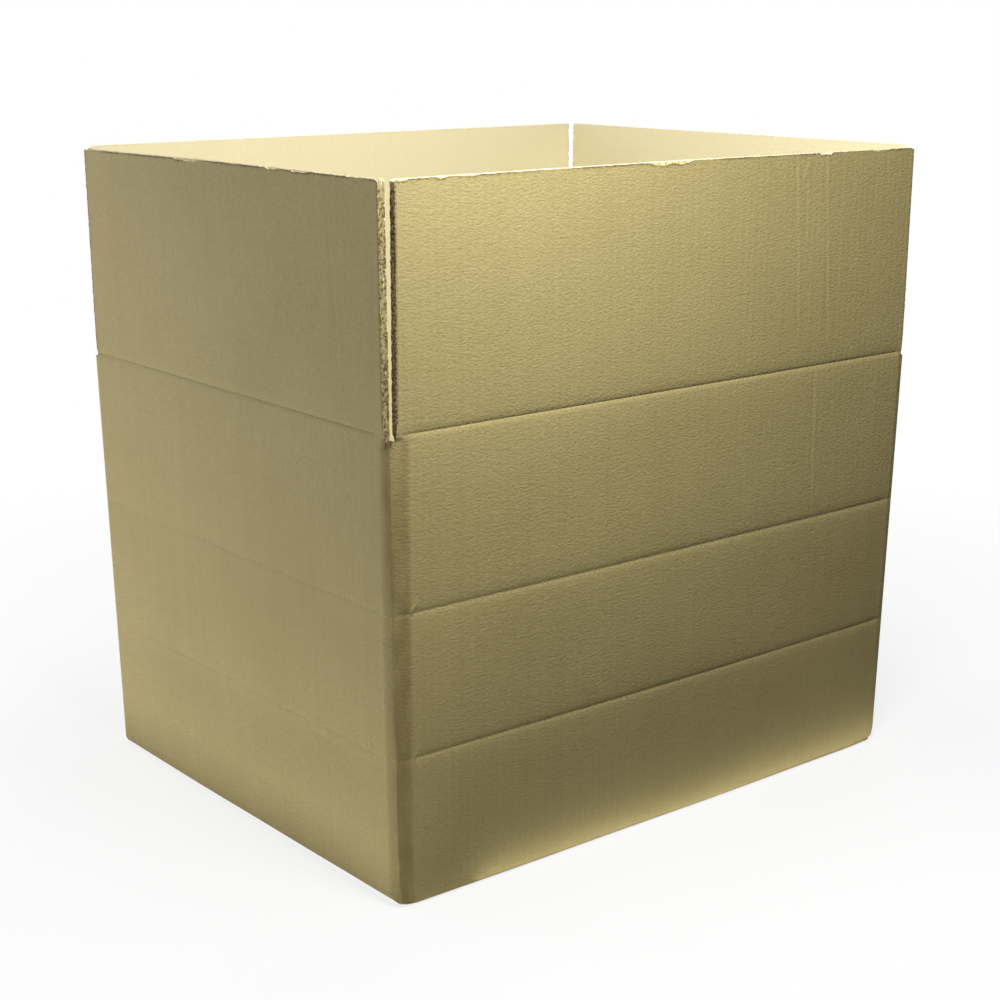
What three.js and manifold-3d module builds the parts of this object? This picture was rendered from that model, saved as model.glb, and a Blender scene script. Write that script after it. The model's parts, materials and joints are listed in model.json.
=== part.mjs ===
// Open corrugated box of double-wall kraft board, in millimetres, +Z up.
// One sheet is folded into four walls and a glued bottom. The four top flaps stand upright.
// The origin is at the middle of the footprint, on the surface that the box stands on.
// The long walls are the front (-Y) and the back (+Y), the short walls the left (-X) and right (+X).
import * as THREE from 'three';
import { mergeVertices } from 'three/addons/utils/BufferGeometryUtils.js';
import Module from 'manifold-3d';

const wasm = await Module();
wasm.setup();

// Outside sizes of the set-up box
const BOX_LENGTH = 636;
const BOX_WIDTH = 516;
const FLAP_TOP = 620;

// Folds, measured up from the floor
const LONG_FLAP_FOLD = 421;
const UPPER_SCORE = 266;
const LOWER_SCORE = 137;

// Board, from its outer face in: liner, tall flutes, liner, short flutes, liner
const LINER = 0.55;
const FLUTING_PAPER = 0.45;
const TALL_FLUTE_HEIGHT = 3;
const TALL_FLUTE_PITCH = 8;
const SHORT_FLUTE_HEIGHT = 1.95;
const SHORT_FLUTE_PITCH = 6.5;
const FLUTE_MOUTH_DEPTH = 12;
const BOARD = 3 * LINER + TALL_FLUTE_HEIGHT + SHORT_FLUTE_HEIGHT;
const LAYER_CLEARANCE = 0.3;
const FOLD_GAP = 0.3;

// Slots between neighbouring flaps, from the neighbour's outer face to the flap's cut end
const SLOT_AT_FOLD = 9;
const SLOT_AT_TOP = 11;
const SLOT_RUN_PAST_FOLD = 2.5;
const FLAP_CORNER_RADIUS = 2;
const CUT_END_GROOVE = 2.5;

// Folded edges and pressed-in scores
const CORNER_FOLD_RADIUS = 11;
const CORNER_INNER_RADIUS = 4;
const BOTTOM_FOLD_RADIUS = 4;
const SCORE_WIDTH = 5;
const SCORE_DEPTH = 1.1;

// Bottom flaps and the glued joint of the sheet
const BOTTOM_SEAM = 2;
const BOTTOM_SLOT = 9;
const GLUE_LAP_WIDTH = 38;
const GLUE_LAP_BEVEL = 14;

const ARC_STEPS = 5;
const KRAFT_OUTSIDE = { color: 0x9c8f5f, roughness: 0.85, metalness: 0 };
const KRAFT_FLAP = { color: 0xb3a574, roughness: 0.85, metalness: 0 };

const shortFlapFold = LONG_FLAP_FOLD - BOARD - LAYER_CLEARANCE;
const bottomFlapLength = (BOX_WIDTH - BOTTOM_SEAM) / 2;
const frontFace = -BOX_WIDTH / 2;
const leftFace = -BOX_LENGTH / 2;

// Solid helpers: three.js shapes in, joined or cut solids out

function solid(geometry) {
  geometry.deleteAttribute('normal');
  geometry.deleteAttribute('uv');
  const welded = mergeVertices(geometry, 1e-4);
  return new wasm.Manifold(new wasm.Mesh({
    numProp: 3,
    vertProperties: new Float32Array(welded.attributes.position.array),
    triVerts: new Uint32Array(welded.index.array),
  }));
}

function geometryOf(body) {
  const mesh = body.getMesh();
  const geometry = new THREE.BufferGeometry();
  geometry.setAttribute('position', new THREE.BufferAttribute(mesh.vertProperties, 3));
  geometry.setIndex(new THREE.BufferAttribute(mesh.triVerts, 1));
  geometry.computeVertexNormals();
  return geometry;
}

function box(low, high) {
  const size = high.map((value, i) => value - low[i]);
  const geometry = new THREE.BoxGeometry(...size);
  geometry.translate(...low.map((value, i) => value + size[i] / 2));
  return solid(geometry);
}

// A flat outline (across, up) run along X from start to end, with across along +Y
function runAlongX(outline, start, end) {
  const shape = new THREE.Shape(outline.map(([across, up]) => new THREE.Vector2(across, up)));
  const geometry = new THREE.ExtrudeGeometry(shape, { depth: end - start, bevelEnabled: false });
  geometry.rotateX(Math.PI / 2);
  geometry.rotateZ(Math.PI / 2);
  geometry.translate(start, 0, 0);
  return solid(geometry);
}

// The same outline run along Y, with across along +X
function runAlongY(outline, start, end) {
  const shape = new THREE.Shape(outline.map(([across, up]) => new THREE.Vector2(across, up)));
  const geometry = new THREE.ExtrudeGeometry(shape, { depth: end - start, bevelEnabled: false });
  geometry.rotateX(Math.PI / 2);
  geometry.translate(0, end, 0);
  return solid(geometry);
}

function roundedRectangle(path, halfX, halfY, radius) {
  path.moveTo(halfX - radius, -halfY);
  path.absarc(halfX - radius, -halfY + radius, radius, -Math.PI / 2, 0, false);
  path.absarc(halfX - radius, halfY - radius, radius, 0, Math.PI / 2, false);
  path.absarc(-halfX + radius, halfY - radius, radius, Math.PI / 2, Math.PI, false);
  path.absarc(-halfX + radius, -halfY + radius, radius, Math.PI, 1.5 * Math.PI, false);
  return path;
}

// Turned half round about Z, a cut for the front or left also serves the back or right
function onBothSides(body) {
  return body.add(body.rotate([0, 0, 180]));
}

// Folded sheet: walls and glued bottom

function wallRing() {
  const shape = roundedRectangle(new THREE.Shape(), BOX_LENGTH / 2, BOX_WIDTH / 2, CORNER_FOLD_RADIUS);
  shape.holes.push(roundedRectangle(
    new THREE.Path(), BOX_LENGTH / 2 - BOARD, BOX_WIDTH / 2 - BOARD, CORNER_INNER_RADIUS));
  const options = { depth: LONG_FLAP_FOLD, bevelEnabled: false, curveSegments: ARC_STEPS };
  return solid(new THREE.ExtrudeGeometry(shape, options));
}

// What is cut from a wall's top so that its flap can fold in over it: a 45 degree mitre
// that leaves the outer face up to the fold
function foldMitre(outerFace, fold) {
  const top = LONG_FLAP_FOLD + BOARD;
  const edge = fold - FOLD_GAP / 2;
  return [
    [outerFace - BOARD, edge],
    [outerFace, edge],
    [outerFace + BOARD * 2, edge - BOARD * 2],
    [outerFace + BOARD * 2, top],
    [outerFace - BOARD, top],
  ];
}

function wallTopCuts() {
  const overEnd = BOARD;
  const longWall = runAlongX(foldMitre(frontFace, LONG_FLAP_FOLD),
    leftFace + SLOT_AT_FOLD, -leftFace - SLOT_AT_FOLD);
  const shortWall = runAlongY(foldMitre(leftFace, shortFlapFold),
    frontFace + SLOT_AT_FOLD, -frontFace - SLOT_AT_FOLD);
  const slotFloor = shortFlapFold - SLOT_RUN_PAST_FOLD;
  const slotTop = LONG_FLAP_FOLD + overEnd;
  const nearSlot = box(
    [leftFace - overEnd, frontFace - overEnd, slotFloor],
    [leftFace + SLOT_AT_FOLD, frontFace + SLOT_AT_FOLD, slotTop]);
  const farSlot = box(
    [leftFace - overEnd, -frontFace - SLOT_AT_FOLD, slotFloor],
    [leftFace + SLOT_AT_FOLD, -frontFace + overEnd, slotTop]);
  return onBothSides(longWall.add(shortWall).add(nearSlot).add(farSlot));
}

// A score is a shallow V pressed into the outer faces, all the way round
function scoreOutline(outerFace, height) {
  return [
    [outerFace - SCORE_DEPTH, height - SCORE_WIDTH],
    [outerFace + SCORE_DEPTH, height],
    [outerFace - SCORE_DEPTH, height + SCORE_WIDTH],
  ];
}

function scores() {
  const grooves = [UPPER_SCORE, LOWER_SCORE].map((height) => onBothSides(
    runAlongX(scoreOutline(frontFace, height), leftFace - BOARD, -leftFace + BOARD)
      .add(runAlongY(scoreOutline(leftFace, height), frontFace - BOARD, -frontFace + BOARD))));
  return grooves[0].add(grooves[1]);
}

// The long bottom flaps meet below, over the short ones, which fold in first
function bottomFlaps() {
  const longFlap = box(
    [leftFace + BOTTOM_SLOT, frontFace + BOARD / 2, 0],
    [-leftFace - BOTTOM_SLOT, -BOTTOM_SEAM / 2, BOARD]);
  const shortFlap = box(
    [leftFace + BOARD / 2, frontFace + BOTTOM_SLOT, BOARD],
    [leftFace + bottomFlapLength, -frontFace - BOTTOM_SLOT, 2 * BOARD]);
  return onBothSides(longFlap.add(shortFlap));
}

// What is outside a rounded bottom fold whose outer corner is at (outerFace, height)
function outsideBottomFold(outerFace, height) {
  const outline = [[outerFace - BOARD, height - BOARD]];
  outline.push([outerFace + BOTTOM_FOLD_RADIUS, height - BOARD]);
  for (let step = 0; step <= ARC_STEPS; step += 1) {
    const angle = (Math.PI / 2) * (step / ARC_STEPS);
    outline.push([
      outerFace + BOTTOM_FOLD_RADIUS * (1 - Math.sin(angle)),
      height + BOTTOM_FOLD_RADIUS * (1 - Math.cos(angle)),
    ]);
  }
  outline.push([outerFace - BOARD, height + BOTTOM_FOLD_RADIUS]);
  return outline;
}

function bottomFoldCuts() {
  const longFold = runAlongX(outsideBottomFold(frontFace, 0), leftFace - BOARD, -leftFace + BOARD);
  const shortFold = runAlongY(outsideBottomFold(leftFace, BOARD),
    frontFace + BOTTOM_SLOT, -frontFace - BOTTOM_SLOT);
  const underShortWall = box(
    [leftFace - BOARD, frontFace + BOTTOM_SLOT, -BOARD],
    [leftFace + BOTTOM_SLOT, -frontFace - BOTTOM_SLOT, BOARD]);
  return onBothSides(longFold.add(shortFold).add(underShortWall));
}

// The sheet's own end, glued inside the right wall at the back corner, with bevelled ends
function glueLap() {
  const inner = -leftFace - BOARD;
  const along = -frontFace - BOARD / 2;
  const outline = [
    [along, 2 * BOARD],
    [along, shortFlapFold - 2 * BOARD],
    [along - GLUE_LAP_WIDTH, shortFlapFold - 2 * BOARD - GLUE_LAP_BEVEL],
    [along - GLUE_LAP_WIDTH, 2 * BOARD + GLUE_LAP_BEVEL],
  ];
  return runAlongX(outline, inner - BOARD, inner + BOARD / 2);
}

function foldedSheet() {
  return wallRing()
    .add(bottomFlaps())
    .add(glueLap())
    .subtract(wallTopCuts())
    .subtract(bottomFoldCuts())
    .subtract(scores());
}

// Top flaps, each built standing up with its outer face on across = 0 and its fold on up = 0

function flapOutline(halfLength, height) {
  const halfTop = halfLength + SLOT_AT_FOLD - SLOT_AT_TOP;
  const shape = new THREE.Shape();
  shape.moveTo(-halfLength, FOLD_GAP / 2);
  shape.lineTo(halfLength, FOLD_GAP / 2);
  shape.lineTo(halfTop, height - FLAP_CORNER_RADIUS);
  shape.absarc(halfTop - FLAP_CORNER_RADIUS, height - FLAP_CORNER_RADIUS,
    FLAP_CORNER_RADIUS, 0, Math.PI / 2, false);
  shape.absarc(-halfTop + FLAP_CORNER_RADIUS, height - FLAP_CORNER_RADIUS,
    FLAP_CORNER_RADIUS, Math.PI / 2, Math.PI, false);
  return shape;
}

// One open flute in a flap's top edge: a three-sided mouth, with its base on one liner and its
// tip towards the other, that narrows to a point where the flutes are left solid
function fluteMouth(start, pitch, baseSide, tipSide, top) {
  const rise = tipSide - baseSide;
  const slope = Math.hypot(rise, pitch / 2) / (pitch / 2);
  const paperRise = (FLUTING_PAPER / 2) * slope;
  const paperRun = paperRise * (pitch / 2) / Math.abs(rise);
  const over = 1;
  const grow = (FLUTE_MOUTH_DEPTH + over) / FLUTE_MOUTH_DEPTH;
  const centre = new THREE.Vector2(start + pitch / 2, baseSide + rise / 3);
  const rim = [
    new THREE.Vector2(start + paperRun, baseSide),
    new THREE.Vector2(start + pitch - paperRun, baseSide),
    new THREE.Vector2(start + pitch / 2, tipSide - Math.sign(rise) * paperRise),
  ].map((corner) => corner.sub(centre).multiplyScalar(grow).add(centre))
    .map((corner) => new THREE.Vector3(corner.x, corner.y, top + over));
  const end = new THREE.Vector3(centre.x, centre.y, top - FLUTE_MOUTH_DEPTH);
  const [a, b, c] = rise > 0 ? rim : [rim[1], rim[0], rim[2]];
  return [a, b, c, b, a, end, c, b, end, a, c, end];
}

// A row of flutes between two liners, open by turns to one and to the other
function fluteRow(halfLength, pitch, outerSide, innerSide, top) {
  const waves = Math.floor((2 * halfLength - pitch) / pitch);
  const first = -waves * pitch / 2;
  const points = [];
  for (let wave = 0; wave < waves; wave += 1) {
    points.push(...fluteMouth(first + wave * pitch, pitch, outerSide, innerSide, top));
  }
  for (let wave = 0; wave < waves - 1; wave += 1) {
    points.push(...fluteMouth(first + (wave + 0.5) * pitch, pitch, innerSide, outerSide, top));
  }
  return solid(new THREE.BufferGeometry().setFromPoints(points));
}

const tallFlutes = [LINER, LINER + TALL_FLUTE_HEIGHT];
const shortFlutes = [BOARD - LINER - SHORT_FLUTE_HEIGHT, BOARD - LINER];

function openFlutes(halfLength, top) {
  return fluteRow(halfLength, TALL_FLUTE_PITCH, ...tallFlutes, top)
    .add(fluteRow(halfLength, SHORT_FLUTE_PITCH, ...shortFlutes, top));
}

// The knife opens both rows of flutes lengthwise along a flap's cut ends
function cutEndGrooves(halfTop, height) {
  const [tall, short] = [tallFlutes, shortFlutes].map(([outerSide, innerSide]) => box(
    [halfTop - CUT_END_GROOVE, outerSide, 2 * BOARD],
    [halfTop + BOARD, innerSide, height - FLUTE_MOUTH_DEPTH]));
  const oneEnd = tall.add(short);
  return oneEnd.add(oneEnd.rotate([0, 0, 180]).translate([0, BOARD, 0]));
}

function flap(halfLength, fold) {
  const height = FLAP_TOP - fold;
  const halfTop = halfLength + SLOT_AT_FOLD - SLOT_AT_TOP;
  const panel = new THREE.ExtrudeGeometry(flapOutline(halfLength, height),
    { depth: BOARD, bevelEnabled: false, curveSegments: 2 });
  panel.rotateX(Math.PI / 2);
  panel.translate(0, BOARD, 0);
  const footMitre = runAlongX([
    [-BOARD, -BOARD],
    [BOARD * 2, -BOARD],
    [BOARD * 2, BOARD * 2 + FOLD_GAP / 2],
    [0, FOLD_GAP / 2],
    [-BOARD, FOLD_GAP / 2],
  ], -halfLength - BOARD, halfLength + BOARD);
  return solid(panel)
    .subtract(footMitre)
    .subtract(openFlutes(halfTop, height))
    .subtract(cutEndGrooves(halfTop, height));
}

const longFlapHalf = BOX_LENGTH / 2 - SLOT_AT_FOLD;
const shortFlapHalf = BOX_WIDTH / 2 - SLOT_AT_FOLD;

// Scene graph

function part(name, body, look) {
  const mesh = new THREE.Mesh(geometryOf(body), new THREE.MeshStandardMaterial(look));
  mesh.name = name;
  return mesh;
}

function standingFlap(name, body, fold, faceDistance, turn) {
  const hinge = new THREE.Group();
  hinge.rotation.z = turn;
  const mesh = part(name, body, KRAFT_FLAP);
  mesh.position.set(0, -faceDistance, fold);
  hinge.add(mesh);
  return hinge;
}

const corrugatedBox = new THREE.Group();
corrugatedBox.add(part('box_body', foldedSheet(), KRAFT_OUTSIDE));
const longFlap = flap(longFlapHalf, LONG_FLAP_FOLD);
const shortFlap = flap(shortFlapHalf, shortFlapFold);
corrugatedBox.add(standingFlap('front_flap', longFlap, LONG_FLAP_FOLD, BOX_WIDTH / 2, 0));
corrugatedBox.add(standingFlap('back_flap', longFlap, LONG_FLAP_FOLD, BOX_WIDTH / 2, Math.PI));
corrugatedBox.add(standingFlap('left_flap', shortFlap, shortFlapFold, BOX_LENGTH / 2, -Math.PI / 2));
corrugatedBox.add(standingFlap('right_flap', shortFlap, shortFlapFold, BOX_LENGTH / 2, Math.PI / 2));

export default corrugatedBox;
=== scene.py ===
import math

import bpy
from mathutils import Matrix, Vector, noise
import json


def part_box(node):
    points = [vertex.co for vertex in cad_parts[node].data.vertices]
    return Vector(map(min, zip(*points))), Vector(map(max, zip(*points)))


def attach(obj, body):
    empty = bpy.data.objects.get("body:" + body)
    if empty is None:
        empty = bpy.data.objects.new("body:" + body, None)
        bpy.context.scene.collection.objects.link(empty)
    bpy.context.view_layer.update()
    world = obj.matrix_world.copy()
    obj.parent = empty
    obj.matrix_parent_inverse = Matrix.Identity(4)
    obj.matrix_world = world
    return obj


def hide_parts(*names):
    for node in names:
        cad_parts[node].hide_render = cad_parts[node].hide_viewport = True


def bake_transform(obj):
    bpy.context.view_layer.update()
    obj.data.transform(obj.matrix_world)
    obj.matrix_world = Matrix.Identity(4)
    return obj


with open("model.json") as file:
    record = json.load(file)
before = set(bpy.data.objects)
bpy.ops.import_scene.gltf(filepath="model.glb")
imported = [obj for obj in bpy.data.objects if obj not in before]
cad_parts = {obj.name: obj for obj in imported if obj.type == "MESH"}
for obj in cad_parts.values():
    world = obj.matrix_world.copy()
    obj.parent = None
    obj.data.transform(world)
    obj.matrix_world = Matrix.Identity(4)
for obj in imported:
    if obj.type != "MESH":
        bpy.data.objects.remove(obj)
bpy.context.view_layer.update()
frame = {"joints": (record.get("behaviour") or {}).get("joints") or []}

# Open corrugated box of double-wall kraft board. Lengths are in metres, +Z is up, and the box
# stands on the floor at z = 0 with the middle of its footprint at the origin.
# A point on a wall or flap is given as (along, out, up): along the wall, out from its face, up.

MM = 0.001

# Sizes from the frame
HALF_LENGTH, HALF_WIDTH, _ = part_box("box_body")[1]
flap_low, flap_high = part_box("front_flap")
FLAP_TOP = flap_high[2]
BOARD = flap_high[1] - flap_low[1]
FOLD_HEIGHTS = {joint["child"]: joint["pos_m"][2] for joint in frame["joints"]}

# Each wall: its turn about +Z from the front wall, half its own length, and how far out it is
WALLS = {
    "front": (0, HALF_LENGTH, HALF_WIDTH),
    "right": (90, HALF_WIDTH, HALF_LENGTH),
    "back": (180, HALF_LENGTH, HALF_WIDTH),
    "left": (270, HALF_WIDTH, HALF_LENGTH),
}

# The board, from its outer face in: liner, tall flutes, liner, short flutes, liner
LINER = 0.55 * MM
FLUTING_PAPER = 0.4 * MM
TALL_FLUTE = (8.0 * MM, 3.0 * MM)
SHORT_FLUTE = (6.5 * MM, 1.95 * MM)
STEPS_PER_FLUTE = 6

# Folds and scores: their heights, how deep each is pressed into each wall from the top one down,
# the widths of the rounding beside a score and of its sharp line, and how far from a score the
# walls' rows are close together
CREASE_HEIGHT = 418.3 * MM
UPPER_SCORE = 266.5 * MM
LOWER_SCORE = 137.2 * MM
SCORE_HEIGHTS = (CREASE_HEIGHT, UPPER_SCORE, LOWER_SCORE)
SCORE_DEPTHS = {
    "front": (2.0 * MM, 1.9 * MM, 2.0 * MM),
    "right": (1.6 * MM, 1.1 * MM, 1.0 * MM),
    "back": (1.8 * MM, 1.7 * MM, 1.7 * MM),
    "left": (1.9 * MM, 1.0 * MM, 0.9 * MM),
}
SCORE_SHOULDER = 9 * MM
SCORE_LINE = 1.8 * MM
SCORE_ROWS = 8 * MM
# The strip of board at a flap's foot reaches this far above and below the fold
FOLD_STRIP = 7.5 * MM

# Corner folds, each shared by the end of one wall and the start of the next: how far the crest
# of the fold has drawn in, how much more at the bottom, and the width of the crushed bands
# beside it on the two walls
CORNERS = {
    "left": (3.8 * MM, 0.0, 13 * MM, 19 * MM),
    "front": (2.6 * MM, 2.1 * MM, 10 * MM, 10 * MM),
    "right": (2.5 * MM, 1.0 * MM, 12 * MM, 12 * MM),
    "back": (3.1 * MM, 0.7 * MM, 10 * MM, 10 * MM),
}
WALL_BEFORE = {"front": "left", "right": "front", "back": "right", "left": "back"}
CORNER_TAPER_REACH = 60 * MM
# The bottom edges' rounding, the height at which the slots between flaps end, and how far each
# wall draws in from the folds down to the bottom
BOTTOM_RADIUS = 5 * MM
SLOT_FLOOR = 414.2 * MM
BASE_TAPER = 3.6 * MM
# Above this height the walls' inner faces are level, over a short way
LEVEL_INSIDE_FROM = 385 * MM
LEVEL_INSIDE_OVER = 15 * MM

# How far each wall bellies out, and its slow waves
BOWS = {"front": 3.2 * MM, "right": 1.2 * MM, "back": 2.0 * MM, "left": 1.1 * MM}
BOW_SPREAD = 165 * MM
WAVES = 0.7 * MM
WAVE_SEEDS = {"front": 0.0, "right": 5.0, "back": 9.0, "left": 14.0}

# Flaps: how far each end of a flap stands back from the corner, at the fold and at the top.
# The first end is the one at the corner with the wall before it, going round the box.
SLOT_AT_FOLD = 9 * MM
FLAP_ENDS = {
    "front": ((8.5 * MM, 10.5 * MM), (7.2 * MM, 7.0 * MM)),
    "right": ((7.4 * MM, 7.2 * MM), (9 * MM, 11 * MM)),
    "back": ((9 * MM, 11 * MM), (9 * MM, 11 * MM)),
    "left": ((12 * MM, 12.5 * MM), (7.9 * MM, 8.7 * MM)),
}

# How far the left wall's lower edge stands above the floor at its near and far end, and the
# height over which that fades
NEAR_LIFT = 5 * MM
FAR_LIFT = 0.5 * MM
LIFT_FADE = 40 * MM
# Bottom corners that are knocked in: side in x, side in y, radius
KNOCKED_CORNERS = ((1, -1, 13 * MM), (-1, 1, 9 * MM), (-1, -1, 11 * MM))
# The gap where the bottom flaps meet, and the glued lap
BOTTOM_SEAM = 2 * MM
GLUE_LAP_WIDTH = 38 * MM
GLUE_LAP_BEVEL = 14 * MM

# Upright creases: wall, place at the top and at the bottom, height of the two ends, depth
CREASES = (
    ("front", 144 * MM, 155 * MM, 615 * MM, 446 * MM, 0.3 * MM),
    ("front", 158 * MM, 161 * MM, 615 * MM, 540 * MM, 0.26 * MM),
    ("front", 184 * MM, 197 * MM, 618 * MM, 442 * MM, 0.32 * MM),
    ("front", 181 * MM, 187 * MM, 408 * MM, 270 * MM, 0.34 * MM),
    ("front", 112 * MM, 114 * MM, 400 * MM, 290 * MM, 0.2 * MM),
    ("left", 174 * MM, 201 * MM, 620 * MM, 356 * MM, 0.3 * MM),
    ("left", 202 * MM, 218 * MM, 352 * MM, 130 * MM, 0.15 * MM),
    ("left", 29 * MM, 34 * MM, 600 * MM, 330 * MM, 0.12 * MM),
)
# Where the columns of a wall are close together, for its creases
CREASED = {"front": (136 * MM, 204 * MM), "left": (168 * MM, 222 * MM)}

# Painted shade with crushed board's hue beside the near corner's fold: each band's width and fade
CRUSH_SHADE_ON_FRONT = (23 * MM, 6 * MM)
CRUSH_SHADE_ON_LEFT = (13.5 * MM, 5 * MM)
# Darker spots on the left wall's shaded band: middle height, spread, amount
BAND_DARK_SPOTS = ((372 * MM, 14 * MM, 0.5), (322 * MM, 12 * MM, 0.4))

# Small sharp wrinkles: wall, its two ends as (along, up), height
WRINKLES = (
    ("front", (-303 * MM, 262 * MM), (-291 * MM, 277 * MM), 0.7 * MM),
    ("front", (-304 * MM, 268 * MM), (-296 * MM, 262 * MM), -0.6 * MM),
    ("front", (-300 * MM, 134 * MM), (-292 * MM, 147 * MM), 0.6 * MM),
    ("front", (161 * MM, 611 * MM), (157 * MM, 594 * MM), 0.5 * MM),
)
WRINKLE_WIDTH = 1.5 * MM
# Where the front wall's columns are close together, for its wrinkles
WRINKLED_COLUMNS = (-306 * MM, -288 * MM)

# Which end of a flap's top edge is cut low, -1 or 1, and by how much
TOP_SLOPES = {"front": (1, 2.3 * MM), "right": (1, 0.0), "back": (1, 0.0), "left": (-1, 2.6 * MM)}
# How dark each flap is painted along its cut edges, and how far that reaches from the top and the ends
EDGE_DARKENING = {"front": 0.9, "left": 1.0, "right": 0.3, "back": 0.3}
TOP_DARK_REACH = 2.2 * MM
END_DARK_REACH = 2.4 * MM

# Nicks in the top edge: wall, middle, half length, depth, and whether only the outer liner is torn
NICKS = (
    ("front", -15.5 * MM, 27 * MM, 2.5 * MM, True),
    ("front", -237 * MM, 9 * MM, 1.0 * MM, True),
    ("front", -262 * MM, 5 * MM, 1.6 * MM, True),
    ("front", -303 * MM, 9 * MM, 1.6 * MM, True),
    ("front", 184 * MM, 9 * MM, 2.4 * MM, False),
    ("front", 262 * MM, 12 * MM, 1.2 * MM, True),
    ("left", -47 * MM, 22 * MM, 1.9 * MM, True),
    ("left", 96 * MM, 8 * MM, 1.0 * MM, True),
    ("left", 140 * MM, 14 * MM, 0.9 * MM, True),
    ("right", 60 * MM, 12 * MM, 1.5 * MM, True),
    ("back", -90 * MM, 15 * MM, 1.4 * MM, True),
)

# Flap corners that are clipped or worn round: wall and end, how far in, how far down
CLIPPED_ENDS = {
    ("right", -1): (10 * MM, 6.5 * MM),
    ("front", 1): (4 * MM, 1.6 * MM),
    ("left", 1): (3 * MM, 1.2 * MM),
    ("front", -1): (2.5 * MM, 1.0 * MM),
    ("back", 1): (4 * MM, 2.0 * MM),
}
# Scraps of paper torn up at the bottom of the near slot: place and radius
TUFTS = (
    ((-315.4 * MM, -253.8 * MM, 414.8 * MM), 1.5 * MM),
    ((-313.4 * MM, -255.9 * MM, 415.2 * MM), 1.2 * MM),
)

# Camera, found by fitting the box's edges and creases in the photograph
CAMERA_PLACE = (-1.1375, -1.4243, 0.7375)
CAMERA_TURN = 0.6746
CAMERA_TILT = -0.2872
CAMERA_ROLL = -0.0018
CAMERA_LENS = 65.87
CAMERA_SHIFT_UP = 0.06

# Floor: the pale strip in front of the box and its slant, how much of the floor's look is plain
# white, how much light the strip and the rest throw back, and the colour that the camera sees
FLOOR_STRIP = 25 * MM
FLOOR_STRIP_SLANT = 0.035
FLOOR_GLOW = 0.8
FLOOR_PALE = 0.85
FLOOR_DARK = 0.04
FLOOR_COLOUR = (0.9, 0.9, 0.89, 1)
# The floor turns plain white between these distances from the middle
FLOOR_FADE = (0.5, 1.3)

# Lights: name, place, point aimed at, size, power, colour. WORLD_FILL is the sky's own light.
WORLD_FILL = 0.05
COOL = (0.96, 1.0, 1.04)
SKY = (0.985, 0.98, 1.06)
WARM = (1, 0.985, 0.93)
LIGHTS = (
    ("key", (-0.26, -0.58, 1.05), (0, -0.2, 0.4), (0.3, 0.3), 8.5, (1, 0.99, 1.0)),
    ("front_high", (0.2, -0.55, 1.25), (0.05, -0.2, 0.4), (0.3, 0.3), 1.7, WARM),
    ("right_front", (1.3, -1.0, 0.8), (0.1, -0.26, 0.3), (0.5, 0.5), 1.0, WARM),
    ("over_opening", (0, 0, 1.4), (0, 0, 0.3), (0.4, 0.4), 6.7, COOL),
    ("left_far", (-1.0, 1.3, 0.4), (-0.3, 0.2, 0.3), (0.5, 0.5), 10.5, SKY),
    ("left_middle", (-1.5, 0.5, 0.9), (-0.3, 0.1, 0.3), (0.6, 0.6), 2.8, SKY),
    ("right_fill", (1.9, 1.1, 0.9), (0, 0, 0.3), (1.2, 1.2), 12, COOL),
    ("back_fill", (-0.3, 2.2, 1.1), (0, 0, 0.3), (1.2, 1.2), 10, COOL),
    ("floor_left", (-0.58, 0, 0.002), (-0.58, 0, 1), (0.4, 0.9), 0.4, SKY),
    ("floor_left_near", (-0.43, 0, 0.002), (-0.43, 0, 1), (0.12, 0.9), 0.26, SKY),
    ("floor_front", (0.05, -0.271, 0.002), (0.05, -0.271, 1), (0.56, 0.03), 0.06, WARM),
)


def linear(red, green, blue):
    """A colour written as it looks on a screen, 0 to 255, as the linear value that shaders take."""
    def channel(value):
        value /= 255
        return value / 12.92 if value <= 0.04045 else ((value + 0.055) / 1.055) ** 2.4
    return (channel(red), channel(green), channel(blue), 1.0)


# Shapes shared by the walls and flaps


def hump(value, centre, width):
    """A smooth rise to 1 at the centre, gone about two widths away."""
    return math.exp(-((value - centre) / width) ** 2)


def ease(value):
    """0 to 1, level at both ends, held outside."""
    value = min(1.0, max(0.0, value))
    return value * value * (3 - 2 * value)


def ragged(place, scale, amount):
    """A small uneven offset that is the same at the same place each time."""
    return amount * noise.noise(Vector((place * scale, 3.7, 1.3)))


def on_wall(wall, along, out, up):
    """The point in the box's own axes."""
    turn, _, reach = WALLS[wall]
    place = Matrix.Rotation(math.radians(turn), 4, "Z") @ Vector((along, -reach - out, up))
    return soften_corners(place)


def soften_corners(place):
    """Rounds off the bottom corners that are knocked in."""
    for side_x, side_y, radius in KNOCKED_CORNERS:
        centre = Vector((
            side_x * (HALF_LENGTH - BASE_TAPER - radius),
            side_y * (HALF_WIDTH - BASE_TAPER - radius),
            radius,
        ))
        away = place - centre
        if away.x * side_x > 0 and away.y * side_y > 0 and away.z < 0 and away.length > radius:
            place = centre + away.normalized() * radius
    return place


def steps(start, end, step):
    """Evenly spaced values from start to end, no further apart than the step."""
    count = max(1, math.ceil((end - start) / step))
    return [start + (end - start) * index / count for index in range(count + 1)]


def graded(start, end, fine_from_ends, fine, coarse):
    """Close together near both ends, further apart between."""
    low = steps(start, start + fine_from_ends, fine)
    middle = steps(start + fine_from_ends, end - fine_from_ends, coarse)
    high = steps(end - fine_from_ends, end, fine)
    return low + middle[1:-1] + high


def finer_across_creases(wall, alongs):
    """Adds the close columns that creases and wrinkles need."""
    if wall not in CREASED:
        return alongs
    start, end = CREASED[wall]
    alongs = [along for along in alongs if not start <= along <= end] + steps(start, end, 1.5 * MM)
    if wall == "front":
        start, end = WRINKLED_COLUMNS
        alongs = [along for along in alongs if not start <= along <= end] + steps(start, end, 1 * MM)
    return sorted(alongs)


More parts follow.
